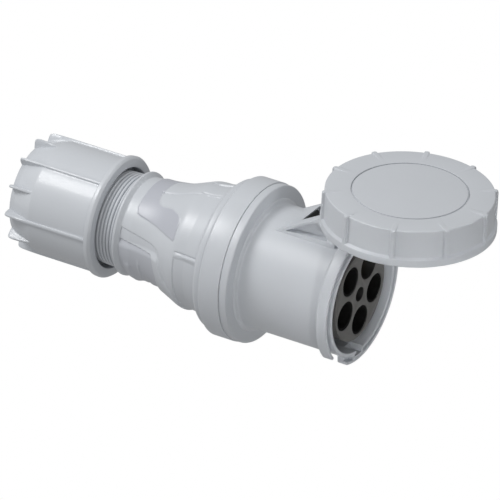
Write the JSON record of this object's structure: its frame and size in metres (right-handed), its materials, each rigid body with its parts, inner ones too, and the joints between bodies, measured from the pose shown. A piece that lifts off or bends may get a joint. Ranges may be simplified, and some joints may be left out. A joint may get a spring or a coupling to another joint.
{
  "type": "industrial power coupler",
  "caption": "Round cable-mounted power coupler: dark insert with pin sleeves, hinged lid with a turning bayonet ring, wide ring, waisted grip and a ribbed cable gland nut.",
  "frame": {"origin": "centre of the cable entry at the gland nut's rear end, on which the part stands", "axes": "+Z along the connector towards its mouth, +Y towards the lid's hinge"},
  "size_m": [0.11, 0.1349, 0.3227],
  "materials": {
    "grey_plastic": "smooth moulded, light grey with a soft sheen",
    "pale_plastic": "smooth moulded, pale",
    "dark_plastic": "smooth moulded, dark grey",
    "black_plastic": "matt black",
    "black_rubber": "matt black",
    "sleeve_brass": "turned",
    "steel": "plain"
  },
  "bodies": {
    "housing": {"grip_housing": "grey_plastic", "front_shell": "grey_plastic", "lid_stop": "black_rubber", "housing_seal": "black_rubber", "contact_insert": "dark_plastic", "contact_carrier": "dark_plastic", "contact_earth": "sleeve_brass", "contact_l1": "sleeve_brass", "contact_l2": "sleeve_brass", "contact_l3": "sleeve_brass", "contact_n": "sleeve_brass", "contact_pilot": "sleeve_brass", "finger_guards": "black_plastic", "terminal_screws": "steel", "hinge_pin": "steel"},
    "lid": {"lid_cap": "grey_plastic", "lid_gasket": "black_rubber"},
    "locking_ring": {"bayonet_ring": "grey_plastic"},
    "gland_core": {"clamp_ring": "pale_plastic", "cable_seal": "black_rubber"},
    "nut": {"gland_nut": "grey_plastic"}
  },
  "joints": [
    {"name": "lid_hinge", "type": "hinge", "parent": "housing", "child": "lid", "pos_m": [0, 0.0492, 0.2185], "axis": [1, 0, 0], "range_deg": [0, 90]},
    {"name": "ring_turn", "type": "hinge", "parent": "lid", "child": "locking_ring", "pos_m": [0, 0.0829, 0.2677], "axis": [0, -1, 0], "range_deg": [0, 50]},
    {"name": "gland_advance", "type": "slide", "parent": "housing", "child": "gland_core", "axis": [0, 0, 1], "range_m": [0, 0.00751]},
    {"name": "nut_turn", "type": "hinge", "parent": "gland_core", "child": "nut", "pos_m": [0, 0, 0], "axis": [0, 0, 1], "range_deg": [0, 1080]}
  ],
  "couplings": [
    {"joint": "gland_advance", "follows": "nut_turn", "m_per_rad": 0.00039789}
  ]
}
